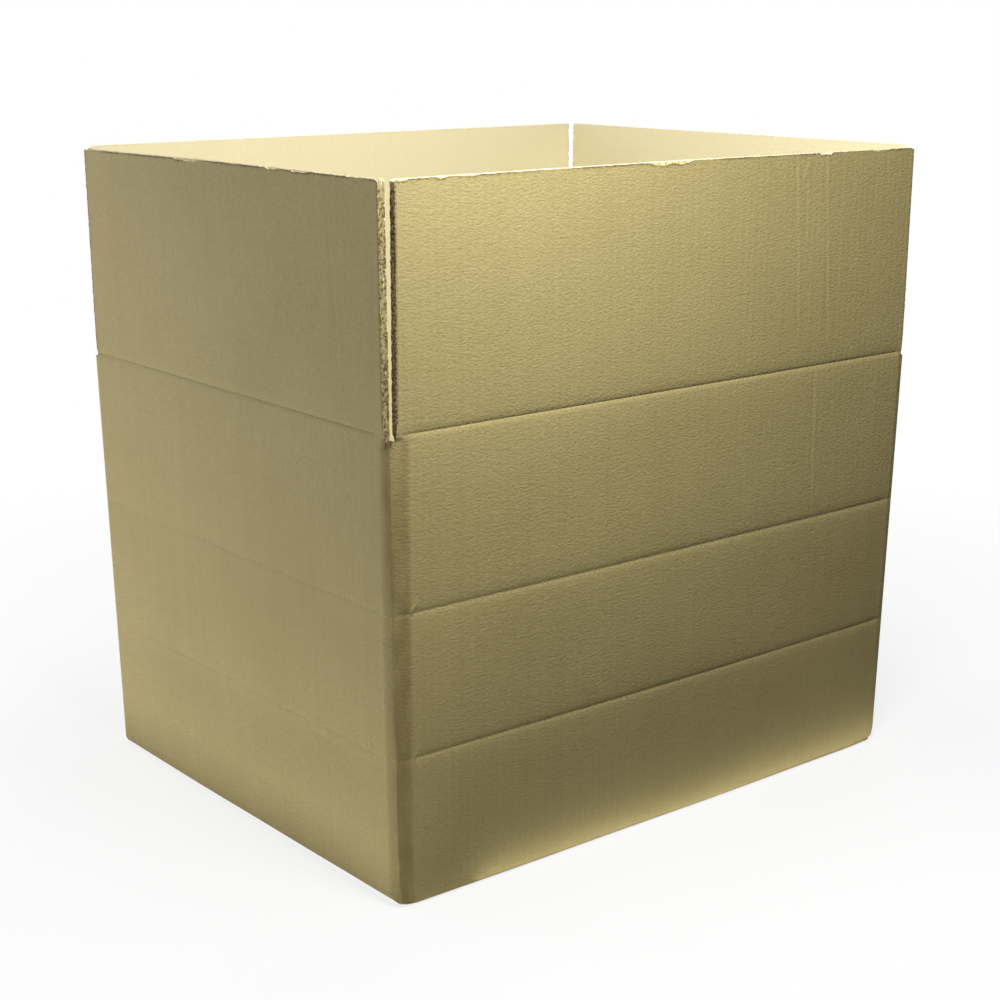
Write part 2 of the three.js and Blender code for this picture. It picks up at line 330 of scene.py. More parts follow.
def board_sheet(name, alongs, ups, place):
    """A grid with one column for each along and one row for each up, each point put in its place."""
    columns = len(alongs) - 1
    rows = len(ups) - 1
    bpy.ops.object.select_all(action="DESELECT")
    bpy.ops.mesh.primitive_grid_add(x_subdivisions=columns, y_subdivisions=rows, size=1)
    sheet = bpy.context.object
    sheet.name = name
    for vertex in sheet.data.vertices:
        column = round((vertex.co.x + 0.5) * columns)
        row = round((vertex.co.y + 0.5) * rows)
        vertex.co = place(alongs[column], ups[row])
    return sheet


def use_materials(piece, *materials):
    piece.data.materials.clear()
    for material in materials:
        piece.data.materials.append(material)


def thicken(piece, thickness, inner=0, rim=0):
    """Gives a sheet its thickness behind its face. inner and rim are steps along its materials."""
    solidify = piece.modifiers.new("thickness", "SOLIDIFY")
    solidify.thickness = thickness
    solidify.offset = -1
    solidify.material_offset = inner
    solidify.material_offset_rim = rim
    apply_modifier(piece, solidify)


def select_only(piece):
    bpy.ops.object.select_all(action="DESELECT")
    piece.select_set(True)
    bpy.context.view_layer.objects.active = piece


def apply_modifier(piece, modifier):
    select_only(piece)
    bpy.ops.object.modifier_apply(modifier=modifier.name)


def flatten_inside(piece, axes):
    """Near the folds the inner face stays level: where the outer face goes in, the board is crushed."""
    inner_faces = (HALF_LENGTH - BOARD, HALF_WIDTH - BOARD)
    # Points further out or further in than these stay where they are
    reach_out = 1.3 * MM
    reach_in = 5 * MM
    for vertex in piece.data.vertices:
        strength = ease((vertex.co.z - LEVEL_INSIDE_FROM) / LEVEL_INSIDE_OVER)
        if any(abs(vertex.co[axis]) > inner_faces[axis] + reach_out for axis in (0, 1)):
            continue
        for axis in axes:
            past = inner_faces[axis] - abs(vertex.co[axis])
            if 0 < past < reach_in:
                vertex.co[axis] += math.copysign(past * strength, vertex.co[axis])


def edit_mesh(piece, operation, **settings):
    """Runs one mesh operation on the whole of a piece."""
    select_only(piece)
    bpy.ops.object.mode_set(mode="EDIT")
    bpy.ops.mesh.select_all(action="SELECT")
    operation(**settings)
    bpy.ops.object.mode_set(mode="OBJECT")


def weld(piece):
    edit_mesh(piece, bpy.ops.mesh.remove_doubles, threshold=0.05 * MM)


def face_outwards(piece):
    edit_mesh(piece, bpy.ops.mesh.normals_make_consistent, inside=False)


def join(name, pieces):
    """One object of several pieces, with its origin on the box's own."""
    bpy.ops.object.select_all(action="DESELECT")
    for piece in pieces:
        piece.select_set(True)
    bpy.context.view_layer.objects.active = pieces[0]
    bpy.ops.object.join()
    joined = bpy.context.object
    joined.name = name
    joined.data.name = name
    bpy.ops.object.transform_apply(location=True, rotation=True, scale=True)
    return joined


def smooth(piece, angle):
    select_only(piece)
    bpy.ops.object.shade_smooth_by_angle(angle=math.radians(angle))


def mark(piece, name, amount_at):
    """Stores a number on each point, for the board's material to read."""
    values = piece.data.attributes.new(name, "FLOAT", "POINT")
    for vertex in piece.data.vertices:
        values.data[vertex.index].value = amount_at(vertex.co)


# Relief of the outer faces


def score_relief(wall, up):
    """Scores pressed into the face: a sharp line, with the board rounding down to it on both sides."""
    relief = 0.0
    for height, depth in zip(SCORE_HEIGHTS, SCORE_DEPTHS[wall]):
        distance = abs(up - height)
        shoulder = 0.6 * math.exp(-distance / SCORE_SHOULDER)
        line = 0.4 * math.exp(-distance / SCORE_LINE)
        relief -= depth * (shoulder + line)
    return relief


def wall_bow(wall, along, up):
    """The walls belly out a little, most near the bottom."""
    half = WALLS[wall][1]
    across = math.cos(0.5 * math.pi * min(1.0, abs(along) / half))
    fullness = 0.2 + 0.62 * hump(up, LOWER_SCORE, BOW_SPREAD)
    if up > CREASE_HEIGHT:
        fullness *= 1 - 0.6 * ease((up - CREASE_HEIGHT) / (FLAP_TOP - CREASE_HEIGHT))
    return BOWS[wall] * across * fullness


def undulation(wall, along, up):
    """Slow waves in the board, a millimetre at most, and slighter on the flaps."""
    seed = WAVE_SEEDS[wall]
    toward_flap = ease((up - CREASE_HEIGHT) / (50 * MM) + 1)
    amount = WAVES * (1 - 0.75 * toward_flap)
    return amount * noise.noise(Vector((along * 7 + seed, up * 9, seed)))


def corner_fold(wall, along):
    """The crest's inset and the crushed band's width at the corner that this end of the wall meets."""
    if along < 0:
        crest, _, _, band = CORNERS[WALL_BEFORE[wall]]
    else:
        crest, _, band, _ = CORNERS[wall]
    return crest, band


def corner_taper(wall, along, up):
    """How much more the corner draws in toward the bottom, spread over the last part of the wall."""
    corner = WALL_BEFORE[wall] if along < 0 else wall
    near_corner = ease(1 - (WALLS[wall][1] - abs(along)) / CORNER_TAPER_REACH)
    return CORNERS[corner][1] * near_corner * (1 - min(1.0, up / CREASE_HEIGHT))


def fold_inset(wall, along):
    """How far the face draws in over the crushed bands, towards the crest of a corner fold."""
    crest, band = corner_fold(wall, along)
    into_band = (abs(along) - (WALLS[wall][1] - band)) / (band - crest)
    return crest * max(0.0, into_band)


def face_relief(wall, along, up):
    """How far the outer face stands out here. Scores, bow and waves die out toward a corner fold."""
    from_corner = WALLS[wall][1] - abs(along)
    crest, band = corner_fold(wall, along)
    calm = ease((from_corner - crest) / (30 * MM))
    scored = 0.6 + 0.4 * ease((from_corner - band) / (7 * MM))
    scored *= ease((from_corner - crest) / (4 * MM))
    slow = wall_bow(wall, along, up) + undulation(wall, along, up)
    relief = scored * score_relief(wall, up) + calm * slow
    return relief + creases(wall, along, up)


def layer_relief(wall, along, up, depth):
    """The face's relief at a depth in the board: what is pressed in crushes the board and dies out."""
    relief = face_relief(wall, along, up)
    return relief * (1 - depth / BOARD) if relief < 0 else relief


def creases(wall, along, up):
    """Shallow upright creases, each a line from its top to its bottom: a dent with a ridge beside it."""
    relief = 0.0
    fade = 12 * MM
    for on, top, bottom, high, low, depth in CREASES:
        if on != wall or not low - fade < up < high + fade:
            continue
        line = top + (bottom - top) * (high - up) / (high - low)
        strength = ease((high + fade - up) / (2 * fade)) * ease((up - low + fade) / (2 * fade))
        dent = hump(along, line, 1.6 * MM)
        ridge = hump(along, line + 3.5 * MM, 2 * MM)
        relief -= depth * strength * (dent - 0.7 * ridge)
    return relief + wrinkles(wall, along, up)


def wrinkles(wall, along, up):
    """Small sharp ridges, each along a line from its start to its end."""
    relief = 0.0
    for on, start, end, height in WRINKLES:
        if on != wall:
            continue
        run = (end[0] - start[0], end[1] - start[1])
        length = math.hypot(*run)
        offset = (along - start[0], up - start[1])
        progress = (offset[0] * run[0] + offset[1] * run[1]) / length ** 2
        away = (offset[0] * run[1] - offset[1] * run[0]) / length
        if 0 < progress < 1:
            strength = ease(4 * progress) * ease(4 - 4 * progress)
            relief += height * strength * hump(away, 0, WRINKLE_WIDTH)
    return relief


def base_taper(up):
    """How far the walls have drawn in at this height."""
    return BASE_TAPER * (1 - min(1.0, up / CREASE_HEIGHT))


def bottom_lift(wall, along):
    """The short walls fold over the long bottom flaps, so they end a little above the floor."""
    if wall == "left":
        toward_near = (along / HALF_WIDTH + 1) / 2
        lift = FAR_LIFT + (NEAR_LIFT - FAR_LIFT) * toward_near
        return lift * ease((HALF_WIDTH - along) / (14 * MM))
    if wall == "right":
        return BOARD * ease((HALF_WIDTH - abs(along)) / (14 * MM))
    return 0.0


# Materials


def new_material(name):
    material = bpy.data.materials.new(name)
    material.use_nodes = True
    return material, material.node_tree.nodes, material.node_tree.links


def math_node(nodes, links, operation, first, second=None):
    node = nodes.new("ShaderNodeMath")
    node.operation = operation
    for socket, value in zip(node.inputs, (first, second)):
        if value is None:
            continue
        if isinstance(value, (int, float)):
            socket.default_value = value
        else:
            links.new(value, socket)
    return node.outputs[0]


def noise_node(nodes, links, vector, scale, detail, roughness=0.55):
    node = nodes.new("ShaderNodeTexNoise")
    node.inputs["Scale"].default_value = scale
    node.inputs["Detail"].default_value = detail
    node.inputs["Roughness"].default_value = roughness
    links.new(vector, node.inputs["Vector"])
    return node.outputs["Fac"]


def mapped(nodes, links, vector, scale):
    node = nodes.new("ShaderNodeMapping")
    node.inputs["Scale"].default_value = scale
    links.new(vector, node.inputs["Vector"])
    return node.outputs["Vector"]


def range_node(nodes, links, value, low, high, out_low, out_high):
    """Maps low to high onto out_low to out_high, held outside."""
    node = nodes.new("ShaderNodeMapRange")
    links.new(value, node.inputs["Value"])
    sockets = ("From Min", "From Max", "To Min", "To Max")
    for socket, number in zip(sockets, (low, high, out_low, out_high)):
        node.inputs[socket].default_value = number
    return node.outputs["Result"]


def mix_colour(nodes, links, factor, first, second, blend="MIX"):
    node = nodes.new("ShaderNodeMix")
    node.data_type = "RGBA"
    node.blend_type = blend
    for index, value in ((0, factor), (6, first), (7, second)):
        if isinstance(value, (int, float, tuple)):
            node.inputs[index].default_value = value
        else:
            links.new(value, node.inputs[index])
    return node.outputs[2]


def flute_lines(nodes, links, place, pitch):
    """Fine upright lines where the liner follows the flutes: along + across repeats at the pitch."""
    split = nodes.new("ShaderNodeSeparateXYZ")
    links.new(place, split.inputs[0])
    along = math_node(nodes, links, "ADD", split.outputs["X"], split.outputs["Y"])
    turns = math_node(nodes, links, "MULTIPLY", along, 2 * math.pi / pitch)
    return math_node(nodes, links, "SINE", turns)


# The crushed board's browner hue with painted shade beside the near corner's fold, the darker
# colour along the cut edges, and the flutes that show as beads along the scores
CRUSH_SHADE_TINT = (0.62, 0.57, 0.50, 1)
EDGE_DARK = linear(78, 60, 34)
BEAD_PITCH = 6 * MM
BEAD_HEIGHT = 0.16 * MM
BEADED_BAND = 2.4 * MM


def kraft_board(name, colour, dark, mottle, line_height, grain_height):
    """Kraft liner: clouds and flecks in its colour, flute lines and pebbled pulp in its surface."""
    material, nodes, links = new_material(name)
    shader = nodes["Principled BSDF"]
    place = nodes.new("ShaderNodeTexCoord").outputs["Object"]

    def pattern(stretch, scale, detail, roughness=0.55):
        return noise_node(nodes, links, mapped(nodes, links, place, stretch), scale, detail, roughness)

    def times(value, weight):
        return math_node(nodes, links, "MULTIPLY", value, weight)

    def weighed(value, weight):
        """A noise's own spread, centred on zero."""
        return times(range_node(nodes, links, value, 0.3, 0.7, -0.5, 0.5), weight)

    def attribute(attribute_name, patches):
        node = nodes.new("ShaderNodeAttribute")
        node.attribute_name = attribute_name
        return times(node.outputs["Fac"], patches)

    def total(values):
        result = values[0]
        for value in values[1:]:
            result = math_node(nodes, links, "ADD", result, value)
        return result

    clouds = pattern((3.0, 3.0, 5.0), 2.2, 4.0)
    pulp = pattern((0.8, 0.8, 1.3), 560.0, 2.0)
    flecks = pattern((1.0, 1.0, 2.2), 800.0, 1.0)
    streaks = pattern((1.0, 1.0, 0.012), 110.0, 4.0, 0.7)
    lines = flute_lines(nodes, links, place, TALL_FLUTE[0])

    tone = total([
        weighed(clouds, mottle * 0.8),
        weighed(pulp, mottle * 2.0),
        weighed(streaks, mottle * 0.55),
        times(lines, mottle * 0.1),
    ])
    base = mix_colour(nodes, links, math_node(nodes, links, "ADD", tone, 0.35), colour, dark)
    fleck = range_node(nodes, links, flecks, 0.68, 0.8, 0.0, 0.4)
    base = mix_colour(nodes, links, fleck, base, dark)
    # Painted shade beside the near corner's fold, with crushed board's browner hue
    crush_shade_patches = range_node(nodes, links, pattern((1.0, 1.0, 0.35), 90.0, 4.0), 0.3, 0.6, 0.55, 1.0)
    base = mix_colour(nodes, links, attribute("crushed", crush_shade_patches), base, CRUSH_SHADE_TINT, "MULTIPLY")
    # Darker along the flaps' cut edges, in patches
    edge_dark_patches = range_node(nodes, links, pattern((1.0, 1.0, 1.0), 420.0, 2.0), 0.35, 0.6, 0.25, 1.0)
    base = mix_colour(nodes, links, attribute("edge_wear", edge_dark_patches), base, EDGE_DARK)
    links.new(base, shader.inputs["Base Color"])

    shader.inputs["Roughness"].default_value = 0.82
    shader.inputs["Specular IOR Level"].default_value = 0.25

    split = nodes.new("ShaderNodeSeparateXYZ")
    links.new(place, split.inputs[0])
    beaded = None
    for score in SCORE_HEIGHTS:
        above = math_node(nodes, links, "SUBTRACT", split.outputs["Z"], score)
        away = math_node(nodes, links, "ABSOLUTE", above)
        near = range_node(nodes, links, away, 0.0, BEADED_BAND, 1.0, 0.0)
        beaded = near if beaded is None else math_node(nodes, links, "MAXIMUM", beaded, near)
    beads = times(flute_lines(nodes, links, place, BEAD_PITCH), beaded)

    height = total([
        times(beads, BEAD_HEIGHT),
        times(pattern((0.55, 0.55, 1.0), 540.0, 2.0), grain_height),
        times(pattern((1.0, 1.0, 1.0), 1500.0, 2.0), grain_height * 0.12),
        times(lines, line_height),
        times(streaks, line_height * 9.0),
    ])
    bump = nodes.new("ShaderNodeBump")
    bump.inputs["Distance"].default_value = 1.0
    bump.inputs["Strength"].default_value = 1.0
    links.new(height, bump.inputs["Height"])
    links.new(bump.outputs["Normal"], shader.inputs["Normal"])
    return material


def torn_paper(name, light, dark, soiled_from):
    """Cut and torn paper edges: pale fibre with soiled patches, thinned near the flaps' top as painted
    light.
    """
    material, nodes, links = new_material(name)
    shader = nodes["Principled BSDF"]
    place = nodes.new("ShaderNodeTexCoord").outputs["Object"]
    patch = noise_node(nodes, links, place, 450.0, 4.0, 0.65)
    split = nodes.new("ShaderNodeSeparateXYZ")
    links.new(place, split.inputs[0])
    soil = range_node(nodes, links, patch, soiled_from, soiled_from + 0.12, 0.0, 1.0)
    # Painted light: near the flaps' top the soiled patches thin out, so the top edges and flute mouths
    # read pale
    painted_light_from = FLAP_TOP - 9 * MM
    painted_light_full = FLAP_TOP - 5 * MM
    painted_light_top = range_node(nodes, links, split.outputs["Z"], painted_light_from, painted_light_full, 1.0, 0.15)
    base = mix_colour(nodes, links, math_node(nodes, links, "MULTIPLY", soil, painted_light_top), light, dark)
    links.new(base, shader.inputs["Base Color"])
    shader.inputs["Roughness"].default_value = 0.95
    shader.inputs["Specular IOR Level"].default_value = 0.1
    fuzz = noise_node(nodes, links, place, 1500.0, 2.0)
    bump = nodes.new("ShaderNodeBump")
    bump.inputs["Distance"].default_value = 0.0003
    bump.inputs["Strength"].default_value = 0.8
    links.new(fuzz, bump.inputs["Height"])
    links.new(bump.outputs["Normal"], shader.inputs["Normal"])
    return material


# Name, colour, darker colour, how mottled, height of the flute lines and of the grain
OUTSIDE = kraft_board(
    "kraft_outside", linear(175, 161, 110), linear(155, 141, 91), 0.3, 0.03 * MM, 0.6 * MM)
# The inner liner is paler than the outer: partly paler paper, partly painted light on the inner faces
INSIDE_PALER_AND_PAINTED_LIGHT = kraft_board(
    "kraft_inside", linear(222, 213, 176), linear(210, 198, 158), 0.15, 0.02 * MM, 0.2 * MM)
# Name, clean colour, soiled colour, the noise value from which it is soiled
CUT_EDGE = torn_paper("cut_edge", linear(246, 238, 206), linear(142, 120, 76), 0.42)
FLUTING = torn_paper("fluting_paper", linear(206, 190, 144), linear(110, 90, 52), 0.45)
SLOT_EDGE = torn_paper("slot_edge", linear(178, 160, 118), linear(98, 80, 58), 0.42)
TORN_END = torn_paper("torn_end", linear(168, 156, 108), linear(92, 76, 46), 0.46)
# A piece of board's outer face, inner face and cut edges
BOARD_MATERIALS = (OUTSIDE, INSIDE_PALER_AND_PAINTED_LIGHT, TORN_END)


# Walls and bottom


def corner_alongs(wall):
    """Places along a wall from one crest to the next. The second crest is left to the next wall."""
    half = WALLS[wall][1]
    ends = []
    for side in (0, 1):
        crest, band = corner_fold(wall, 1 if side else -1)
        slot = half - flap_end(wall, side, 0)
        near = [crest, crest + 1 * MM, crest + 3 * MM, slot - 0.15 * MM, slot]
        near += [band + offset * MM for offset in (-1.5, 1, 3, 7, 12)]
        near = sorted({round(value, 6) for value in near if value >= crest})
        ends.append([half - value for value in near])
    start = [-value for value in ends[0]]
    end = ends[1][::-1]
    between = steps(start[-1], end[0], 10 * MM)[1:-1]
    return finer_across_creases(wall, start + between + end[:-1])


def wall_rows():
    """Heights from the floor up, close together at the scores. The last is cut to each wall's top."""
    coarse = 9 * MM
    ups = [BOTTOM_RADIUS * (1 - math.cos(math.pi / 2 * index / 5)) for index in range(5)]
    start = BOTTOM_RADIUS
    for score in (LOWER_SCORE, UPPER_SCORE):
        ups += steps(start, score - coarse, coarse)
        ups += steps(score - SCORE_ROWS, score + SCORE_ROWS, 1 * MM)
        start = score + coarse
    ups += steps(start, CREASE_HEIGHT - FOLD_STRIP - 2 * MM, coarse)
    ups.append(1.0)
    return ups


def wall_top(wall, along):
    """Under a flap the wall ends where the fold's own strip begins, and in a slot at the slot's floor."""
    side = 1 if along > 0 else 0
    if abs(along) > flap_end(wall, side, 0) + 0.1 * MM:
        return SLOT_FLOOR
    return FOLD_HEIGHTS[wall + "_flap"] - FOLD_STRIP


def wall_point(station, up):
    wall, along = station
    top = wall_top(wall, along)
    up = min(up, top)
    rounding = 0.0
    if up < BOTTOM_RADIUS:
        below = BOTTOM_RADIUS - up
        rounding = BOTTOM_RADIUS - math.sqrt(max(0.0, BOTTOM_RADIUS ** 2 - below ** 2))
    drawn_in = corner_taper(wall, along, up)
    inset = fold_inset(wall, along) + base_taper(up) + rounding + drawn_in
    lift = bottom_lift(wall, along) * max(0.0, 1 - up / LIFT_FADE)
    out = face_relief(wall, along, up) - inset
    half = WALLS[wall][1]
    squeeze = 1 - (base_taper(up) + rounding + drawn_in) / half
    return on_wall(wall, along * squeeze, out, up + lift)


def crush_and_shade_amount(place):
    """How much darker the board is painted here beside the near corner's fold: crushed board's hue and
    painted shade.
    """
    from_corner_on_front = place.x + HALF_LENGTH
    from_corner_on_left = place.y + HALF_WIDTH
    lower = ease((CREASE_HEIGHT - place.z) / (150 * MM))
    below_slot = ease((CREASE_HEIGHT - place.z) / (5 * MM))
    near = 60 * MM
    face_depth = 7 * MM
    if from_corner_on_front < near and from_corner_on_left < face_depth:
        band, fade = CRUSH_SHADE_ON_FRONT
        inside = ease((band - from_corner_on_front) / fade)
        return (0.55 + 0.35 * lower) * inside * below_slot
    if from_corner_on_left < near and from_corner_on_front < face_depth:
        band, fade = CRUSH_SHADE_ON_LEFT
        inside = ease((band - from_corner_on_left) / fade)
        dark_spots = sum(amount * hump(place.z, middle, spread) for middle, spread, amount in BAND_DARK_SPOTS)
        return (0.6 - 0.25 * lower + dark_spots) * inside * below_slot
    return 0.0


def walls():
    stations = [(wall, along) for wall in WALLS for along in corner_alongs(wall)]
    stations.append(stations[0])
    sheet = board_sheet("walls", stations, wall_rows(), wall_point)
    use_materials(sheet, *BOARD_MATERIALS)
    weld(sheet)
    face_outwards(sheet)
    # Marks where the board is painted darker: painted shade and crushed board's hue
    mark(sheet, "crushed", crush_and_shade_amount)
    thicken(sheet, BOARD, inner=1, rim=2)
    flatten_inside(sheet, (0, 1))
    weld(sheet)
    return sheet


def slab(name, low, high):
    """A flat piece of board, subdivided so that it follows the knocked-in corners."""
    bpy.ops.object.select_all(action="DESELECT")
    size = [high[axis] - low[axis] for axis in range(3)]
    middle = [(high[axis] + low[axis]) / 2 for axis in range(3)]
    bpy.ops.mesh.primitive_cube_add(size=1, location=middle, scale=size)
    piece = bpy.context.object
    piece.name = name
    bpy.ops.object.transform_apply(location=True, rotation=True, scale=True)
    edit_mesh(piece, bpy.ops.mesh.subdivide, number_cuts=24)
    for vertex in piece.data.vertices:
        vertex.co = soften_corners(vertex.co.copy())
    return piece


def bottom_flaps():
    """The long flaps meet in the middle, and the short ones lie on them."""
    inset = BASE_TAPER + 1 * MM
    end = HALF_LENGTH - SLOT_AT_FOLD - BASE_TAPER
    side = HALF_WIDTH - SLOT_AT_FOLD - BASE_TAPER
    reach = HALF_WIDTH - inset - BOTTOM_RADIUS
    seam = BOTTOM_SEAM / 2
    outer = HALF_LENGTH - 3 * inset
    inner = HALF_LENGTH - (HALF_WIDTH - seam)
    lift = 0.2 * MM
    pieces = [
        slab("bottom_front", (-end, -reach, lift), (end, -seam, BOARD)),
        slab("bottom_back", (-end, seam, lift), (end, reach, BOARD)),
        slab("bottom_left", (-outer, -side, BOARD), (-inner, side, 2 * BOARD)),
        slab("bottom_right", (inner, -side, BOARD), (outer, side, 2 * BOARD)),
    ]
    for piece in pieces:
        use_materials(piece, *BOARD_MATERIALS)
        for polygon in piece.data.polygons:
            upright = abs(polygon.normal.z) < 0.7
            polygon.material_index = 2 if upright else (1 if polygon.normal.z > 0 else 0)
    return pieces


def glue_lap():
    """The sheet's own end, glued inside the right wall at the back corner."""
    start = HALF_WIDTH - BOARD
    low = 2 * BOARD
    high = FOLD_HEIGHTS["right_flap"] - 2 * BOARD

    def place(across, up):
        toward_end = across / GLUE_LAP_WIDTH
        low_here = low + GLUE_LAP_BEVEL * toward_end
        high_here = high - GLUE_LAP_BEVEL * toward_end
        height = low_here + (high_here - low_here) * up
        inner = HALF_LENGTH - BOARD - base_taper(height) - 0.3 * MM
        return Vector((inner, start - across - base_taper(height), height))

    sheet = board_sheet("glue_lap", steps(0, GLUE_LAP_WIDTH, 10 * MM), steps(0, 1, 0.05), place)
    use_materials(sheet, INSIDE_PALER_AND_PAINTED_LIGHT, INSIDE_PALER_AND_PAINTED_LIGHT, CUT_EDGE)
    if sheet.data.polygons[0].normal.x > 0:
        sheet.data.flip_normals()
    thicken(sheet, -BOARD * 0.9, inner=1, rim=2)
    return sheet


def paper_tuft(place, radius):
    """A torn scrap of paper, crumpled into a lump."""
    bpy.ops.object.select_all(action="DESELECT")
    bpy.ops.mesh.primitive_ico_sphere_add(subdivisions=4, radius=radius, location=place)
    tuft = bpy.context.object
    for vertex in tuft.data.vertices:
        vertex.co *= 1 + 0.7 * noise.noise(vertex.co * 900)
    use_materials(tuft, FLUTING)
    return tuft


def folded_sheet():
    tufts = [paper_tuft(place, radius) for place, radius in TUFTS]
    piece = join("folded_sheet", [walls(), glue_lap()] + bottom_flaps() + tufts)
    smooth(piece, 35)
    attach(piece, "box_body")
    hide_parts("box_body")


# Top flaps


def flap_end(wall, side, up):
    """How far along the wall a flap's end stands, for side 0 or 1."""
    fold = FOLD_HEIGHTS[wall + "_flap"]
    at_fold, at_top = FLAP_ENDS[wall][side]
    toward_top = max(0.0, (up - fold) / (FLAP_TOP - fold))
    return WALLS[wall][1] - at_fold - (at_top - at_fold) * toward_top


def flap_along(wall, across, up):
    """across runs from -1 to 1 between the flap's two ends."""
    return across * flap_end(wall, 1 if across > 0 else 0, up)


def flap_point(wall, depth):
    """Places a sheet of the flap whose face lies that deep in the board."""
    def place(across, up):
        along = flap_along(wall, across, up)
        return on_wall(wall, along, layer_relief(wall, along, up, depth) - depth, up)
    return place


def flap_rows(wall):
    """Heights up a flap, close together at its foot and most at its top edge."""
    foot = FOLD_HEIGHTS[wall + "_flap"] + FOLD_STRIP
    ups = steps(foot, foot + 20 * MM, 2 * MM)
    ups += steps(foot + 20 * MM, FLAP_TOP - 30 * MM, 7 * MM)[1:]
    ups += steps(FLAP_TOP - 30 * MM, FLAP_TOP - 6 * MM, 2 * MM)[1:]
    ups += [FLAP_TOP - fall * MM for fall in (4.5, 3.2, 2.2, 1.4, 0.7, 0.0)]
    return ups


def liner(wall, name, depth, materials, thickness, ragged_top):
    """One sheet of paper in a flap's board, at its depth, with an uneven top edge."""
    half = WALLS[wall][1]
    end = 8 * MM / half
    alongs = [across * half for across in graded(-1, 1, end, end / 6, 4 * MM / half)]
    acrosses = [along / half for along in finer_across_creases(wall, alongs)]
    place_flat = flap_point(wall, depth)

    def place(across, up):
        near_top = ease((up - (FLAP_TOP - 8 * MM)) / (8 * MM))
        drop = top_drop(wall, flap_along(wall, across, up), depth, ragged_top)
        return place_flat(across, up - drop * near_top)

    sheet = board_sheet(name, acrosses, flap_rows(wall), place)
    use_materials(sheet, *materials)
    darkening = EDGE_DARKENING[wall] * (1 if depth == 0 else 0.25)
    mark(sheet, "edge_wear", lambda point: darkening * edge_closeness(wall, point, depth, ragged_top))
    thicken(sheet, thickness, inner=1, rim=2)
    return sheet


def nick_depth(wall, along, outermost):
    """How low the top edge is at this place, worn or cut out of level."""
    low_end, lowering = TOP_SLOPES[wall]
    level = lowering * max(0.0, along * low_end / WALLS[wall][1])
    drop = 0.0
    end = 1 if along > 0 else -1
    if (wall, end) in CLIPPED_ENDS:
        reach, depth = CLIPPED_ENDS[wall, end]
        from_end = flap_end(wall, max(0, end), FLAP_TOP) - abs(along)
        drop = depth * max(0.0, 1 - from_end / reach)
    for on, middle, half_length, depth, outer_only in NICKS:
        if on != wall or (outer_only and not outermost):
            continue
        inside = 1 - abs(along - middle) / half_length
        if inside > 0:
            drop = max(drop, depth * ease(inside * 4) * (0.9 + ragged(along, 140, 0.7)))
    return level + drop


def top_drop(wall, along, depth, roughness):
    """How low the top edge of one layer is at this place, with its rough cut."""
    return abs(ragged(along + depth, 260, roughness)) + nick_depth(wall, along, depth == 0)


def lowered(wall, along, up, reach, fade):
    """The height moved down where it lies near a top edge that is cut low."""
    near_top = ease((up - (FLAP_TOP - reach)) / fade)
    return up - nick_depth(wall, along, False) * near_top


def edge_closeness(wall, place, depth, roughness):
    """1 at a flap's cut edges, gone 2 mm away, and in patches along the top."""
    turn = WALLS[wall][0]
    local = Matrix.Rotation(math.radians(-turn), 4, "Z") @ place
    from_top = FLAP_TOP - top_drop(wall, local.x, depth, roughness) - place.z
    from_end = flap_end(wall, 1 if local.x > 0 else 0, place.z) - abs(local.x)
    top_patches = 0.85 + 1.9 * noise.noise(Vector((local.x * 31, turn + 0.37, 0.61)))
    at_top = max(0.0, 1.15 - from_top / TOP_DARK_REACH) * min(1.0, max(0.0, top_patches))
    at_end = max(0.0, 1 - from_end / END_DARK_REACH)
    return max(at_top, at_end)


def fluting(wall, name, flute, middle_depth):
    """A sheet of fluting paper between two liners, waved along the flap."""
    pitch, height = flute
    fold = FOLD_HEIGHTS[wall + "_flap"]
    half = WALLS[wall][1]
    waves = int(2 * half / pitch)
    acrosses = steps(-1, 1, pitch / STEPS_PER_FLUTE / half)
    swing = (height - FLUTING_PAPER) / 2 - 0.04 * MM

    def place(across, up):
        along = flap_along(wall, across, up)
        wave = swing * math.sin(math.pi * waves * across)
        relief = layer_relief(wall, along, up, middle_depth)
        out = relief - middle_depth + wave
        return on_wall(wall, along, out, lowered(wall, along, up, 12 * MM, 11 * MM))

    ups = [fold + FOLD_STRIP + rise * MM for rise in (0, 4, 9, 16, 26, 42, 65, 92, 120)]
    ups += [FLAP_TOP - fall * MM for fall in (42, 24, 12, 5, 0.6)]
    sheet = board_sheet(name, acrosses, ups, place)
    use_materials(sheet, FLUTING)
    thicken(sheet, FLUTING_PAPER)
    return sheet


def torn_end(wall, side):
    """The crumbled paper that the slotting knife leaves across the board's cut end."""
    fold = FOLD_HEIGHTS[wall + "_flap"]
    sign = 1 if side else -1

    def place(across, up):
        layer = across if side else 1 - across
        crumbs = noise.noise(Vector((layer * 2.6, up * 360, 7.0 + side)))
        reach = flap_end(wall, side, up) + 0.2 * MM + 0.75 * MM * crumbs
        along = sign * min(reach, WALLS[wall][1] - BOARD - 0.5 * MM)
        depth = BOARD * layer + ragged(up + 3 * layer, 420, 0.5 * MM)
        out = layer_relief(wall, along, up, depth) - depth
        return on_wall(wall, along, out, lowered(wall, along, up, 8 * MM, 8 * MM))

    ups = steps(fold + FOLD_STRIP, FLAP_TOP - 0.8 * MM, 1.7 * MM)
    sheet = board_sheet(wall + "_torn_end", steps(0, 1, 0.125), ups, place)
    use_materials(sheet, SLOT_EDGE if wall == "front" else TORN_END)
    thicken(sheet, 0.5 * MM)
    return sheet


